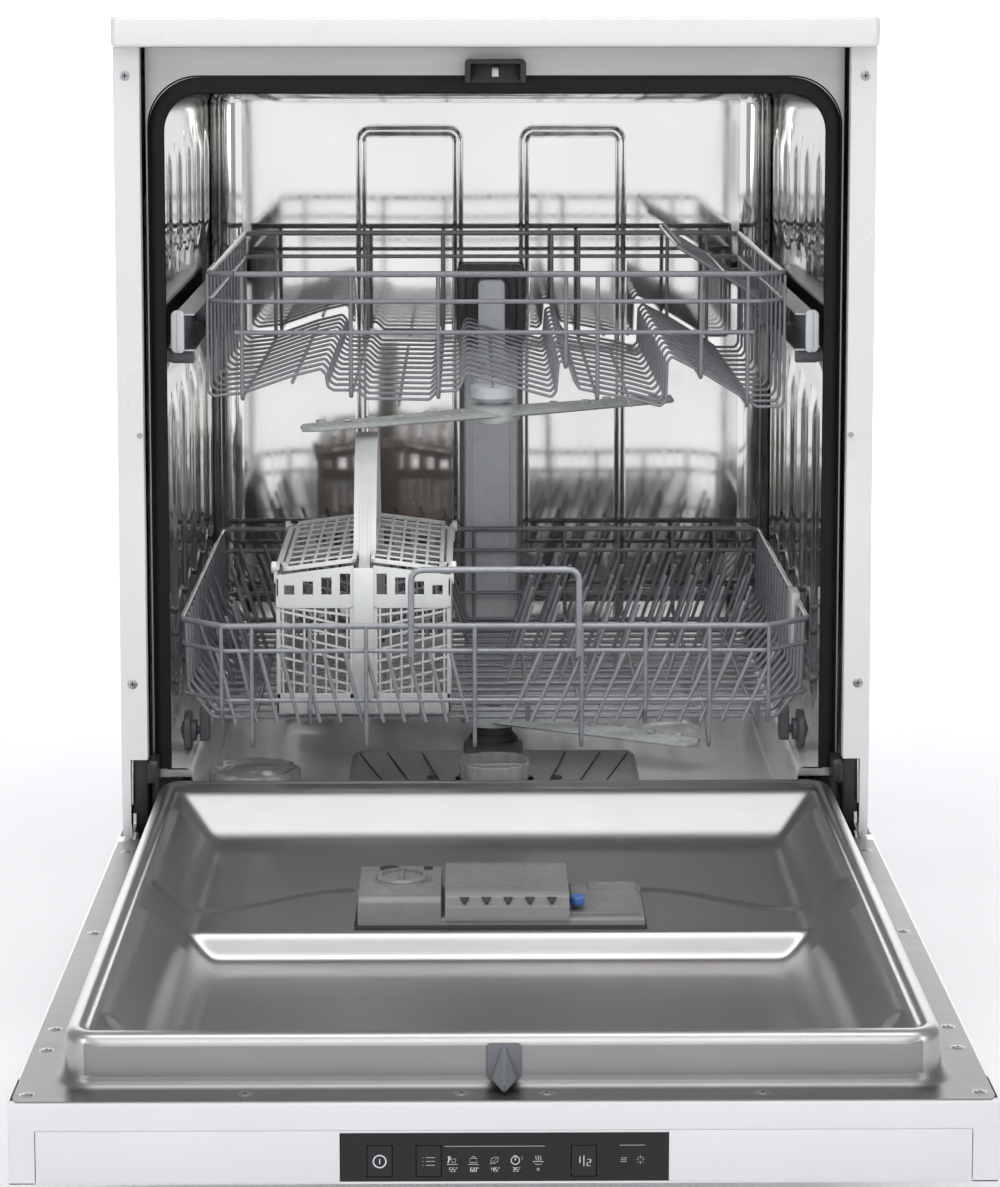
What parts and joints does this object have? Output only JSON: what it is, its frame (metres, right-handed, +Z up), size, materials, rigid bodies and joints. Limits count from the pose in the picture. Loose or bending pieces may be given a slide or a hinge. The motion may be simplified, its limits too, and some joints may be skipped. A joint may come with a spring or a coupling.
{
  "type": "free-standing dishwasher",
  "caption": "White free-standing dishwasher with a drop-down door, stainless tub, two pull-out wire racks, rotating spray arms and a lidded cutlery basket.",
  "frame": {"origin": "centre of the footprint of the machine with its door let down, on the floor", "axes": "+Z up, door opens towards -Y, +X to the right seen from the front"},
  "size_m": [0.598, 1.189, 0.85],
  "materials": {
    "white_panel": "smooth white enamel",
    "white_laminate": "smooth white laminate",
    "white_plastic": "satin white moulding",
    "base_plastic": "dark moulded",
    "stainless_polished": "polished tub",
    "stainless_satin": "satin pressed",
    "zinc_steel": "zinc plated",
    "black_rubber": "matte",
    "black_plastic": "matte",
    "black_gloss": "glossy panel",
    "button_plastic": "satin key",
    "grey_plastic": "moulded polypropylene",
    "grey_dispenser": "satin moulded",
    "light_grey_plastic": "moulded polypropylene",
    "blue_plastic": "moulded",
    "rack_nylon": "nylon coated wire",
    "screw_steel": "plated screws",
    "pcb_green": "laminate board",
    "bitumen": "bitumen mat",
    "clear_white_plastic": "moulded"
  },
  "bodies": {
    "cabinet": {"base_tray": "base_plastic", "left_side_panel": "white_panel", "right_side_panel": "white_panel", "worktop": "white_laminate", "back_panel": "zinc_steel", "kick_plate": "white_panel", "tub": "stainless_polished", "tub_front_frame": "stainless_satin", "door_seal": "black_rubber", "door_lock": "black_plastic", "feet": "black_plastic", "panel_screws": "screw_steel", "hinge_brackets": "zinc_steel", "sump": "base_plastic", "circulation_pump": "black_plastic", "drain_pump": "black_plastic", "water_softener": "clear_white_plastic", "inlet_valve": "clear_white_plastic", "drain_spigot": "grey_plastic", "cord_gland": "black_plastic", "rear_water_duct": "grey_plastic", "filter_plate": "stainless_satin", "air_break_chamber": "clear_white_plastic", "counterbalance_springs": "zinc_steel"},
    "door": {"outer_door_panel": "white_panel", "door_liner": "stainless_satin", "control_fascia": "white_plastic", "control_window": "black_gloss", "latch_hook": "grey_plastic", "dispenser_body": "grey_dispenser", "door_screws": "screw_steel", "hinge_arms": "zinc_steel", "door_insulation": "bitumen", "control_board": "pcb_green"},
    "power_button": {"power_button": "button_plastic"},
    "program_button": {"program_button": "button_plastic"},
    "half_load_button": {"half_load_button": "button_plastic"},
    "dispenser_lid": {"dispenser_lid": "grey_dispenser"},
    "lid_release_tab": {"lid_release_tab": "blue_plastic"},
    "rinse_aid_cap": {"rinse_aid_cap": "grey_dispenser"},
    "lower_rack": {"lower_rack_frame": "rack_nylon", "cutlery_basket": "light_grey_plastic"},
    "left_basket_lid": {"left_basket_lid": "light_grey_plastic"},
    "right_basket_lid": {"right_basket_lid": "light_grey_plastic"},
    "left_fold_tines": {"left_fold_tines": "rack_nylon"},
    "front_wheels": {"front_wheels": "grey_plastic"},
    "rear_wheels": {"rear_wheels": "grey_plastic"},
    "upper_rack": {"upper_rack_frame": "rack_nylon", "upper_arm_feed": "grey_plastic"},
    "rails": {"left_rail": "stainless_satin", "right_rail": "stainless_satin", "rail_end_caps": "grey_plastic"},
    "front_rail_rollers": {"front_rail_rollers": "grey_plastic"},
    "rear_rail_rollers": {"rear_rail_rollers": "grey_plastic"},
    "upper_spray_arm": {"upper_spray_arm": "grey_plastic"},
    "cup_shelf": {"cup_shelf": "rack_nylon"},
    "lower_spray_arm": {"lower_spray_arm": "grey_plastic"},
    "filter_cup": {"filter_cup": "grey_plastic"},
    "salt_cap": {"salt_cap": "grey_plastic"},
    "right_fold_tines": {"right_fold_tines": "rack_nylon"}
  },
  "joints": [
    {"name": "door_hinge", "type": "hinge", "parent": "cabinet", "child": "door", "pos_m": [0, 0.0327, 0.1908], "axis": [1, 0, 0], "range_deg": [-90, 0]},
    {"name": "power_button_push", "type": "slide", "parent": "door", "child": "power_button", "axis": [0, 1, 0], "range_m": [0, 0.0015], "stiffness_N_per_m": 350},
    {"name": "program_button_push", "type": "slide", "parent": "door", "child": "program_button", "axis": [0, 1, 0], "range_m": [0, 0.0015], "stiffness_N_per_m": 350},
    {"name": "half_load_button_push", "type": "slide", "parent": "door", "child": "half_load_button", "axis": [0, 1, 0], "range_m": [0, 0.0015], "stiffness_N_per_m": 350},
    {"name": "dispenser_lid_slide", "type": "slide", "parent": "door", "child": "dispenser_lid", "axis": [1, 0, 0], "range_m": [0, 0.05]},
    {"name": "release_tab_press", "type": "slide", "parent": "dispenser_lid", "child": "lid_release_tab", "axis": [0, 0, -1], "range_m": [0, 0.0015], "stiffness_N_per_m": 300},
    {"name": "rinse_aid_cap_turn", "type": "hinge", "parent": "door", "child": "rinse_aid_cap", "pos_m": [-0.07, -0.1845, 0.228], "axis": [0, 0, 1], "range_deg": [0, 90]},
    {"name": "lower_rack_slide", "type": "slide", "parent": "cabinet", "child": "lower_rack", "axis": [0, -1, 0], "range_m": [0, 0.45]},
    {"name": "left_basket_lid_hinge", "type": "hinge", "parent": "lower_rack", "child": "left_basket_lid", "pos_m": [-0.179, 0.233, 0.399], "axis": [0, 1, 0], "range_deg": [-100, 0]},
    {"name": "right_basket_lid_hinge", "type": "hinge", "parent": "lower_rack", "child": "right_basket_lid", "pos_m": [-0.036, 0.233, 0.399], "axis": [0, 1, 0], "range_deg": [0, 100]},
    {"name": "left_tine_fold", "type": "hinge", "parent": "lower_rack", "child": "left_fold_tines", "pos_m": [-0.224, 0.2255, 0.2815], "axis": [1, 0, 0], "range_deg": [0, 80]},
    {"name": "right_tine_fold", "type": "hinge", "parent": "lower_rack", "child": "right_fold_tines", "pos_m": [0.114, 0.2255, 0.2815], "axis": [1, 0, 0], "range_deg": [0, 80]},
    {"name": "front_wheel_spin", "type": "hinge", "parent": "lower_rack", "child": "front_wheels", "pos_m": [0, 0.1425, 0.2605], "axis": [1, 0, 0], "continuous": true},
    {"name": "rear_wheel_spin", "type": "hinge", "parent": "lower_rack", "child": "rear_wheels", "pos_m": [0, 0.4725, 0.2605], "axis": [1, 0, 0], "continuous": true},
    {"name": "upper_rack_slide", "type": "slide", "parent": "cabinet", "child": "upper_rack", "axis": [0, -1, 0], "range_m": [0, 0.36]},
    {"name": "rail_slide", "type": "slide", "parent": "cabinet", "child": "rails", "axis": [0, -1, 0], "range_m": [0, 0.18]},
    {"name": "front_roller_spin", "type": "hinge", "parent": "cabinet", "child": "front_rail_rollers", "pos_m": [0, 0.1175, 0.576], "axis": [1, 0, 0], "continuous": true},
    {"name": "rear_roller_spin", "type": "hinge", "parent": "cabinet", "child": "rear_rail_rollers", "pos_m": [0, 0.3475, 0.576], "axis": [1, 0, 0], "continuous": true},
    {"name": "upper_arm_spin", "type": "hinge", "parent": "upper_rack", "child": "upper_spray_arm", "pos_m": [0, 0.2925, 0.506], "axis": [0, 0, 1], "continuous": true},
    {"name": "cup_shelf_hinge", "type": "hinge", "parent": "upper_rack", "child": "cup_shelf", "pos_m": [0.2238, 0.3625, 0.612], "axis": [0, 1, 0], "range_deg": [-30, 45]},
    {"name": "lower_arm_spin", "type": "hinge", "parent": "cabinet", "child": "lower_spray_arm", "pos_m": [0, 0.3175, 0.233], "axis": [0, 0, 1], "continuous": true},
    {"name": "filter_cup_twist", "type": "hinge", "parent": "cabinet", "child": "filter_cup", "pos_m": [0, 0.1765, 0.212], "axis": [0, 0, 1], "range_deg": [0, 60]},
    {"name": "salt_cap_turn", "type": "hinge", "parent": "cabinet", "child": "salt_cap", "pos_m": [-0.201, 0.1675, 0.208], "axis": [0, 0, 1], "range_deg": [0, 270]}
  ],
  "couplings": [
    {"joint": "rail_slide", "follows": "upper_rack_slide", "ratio": 0.5}
  ]
}
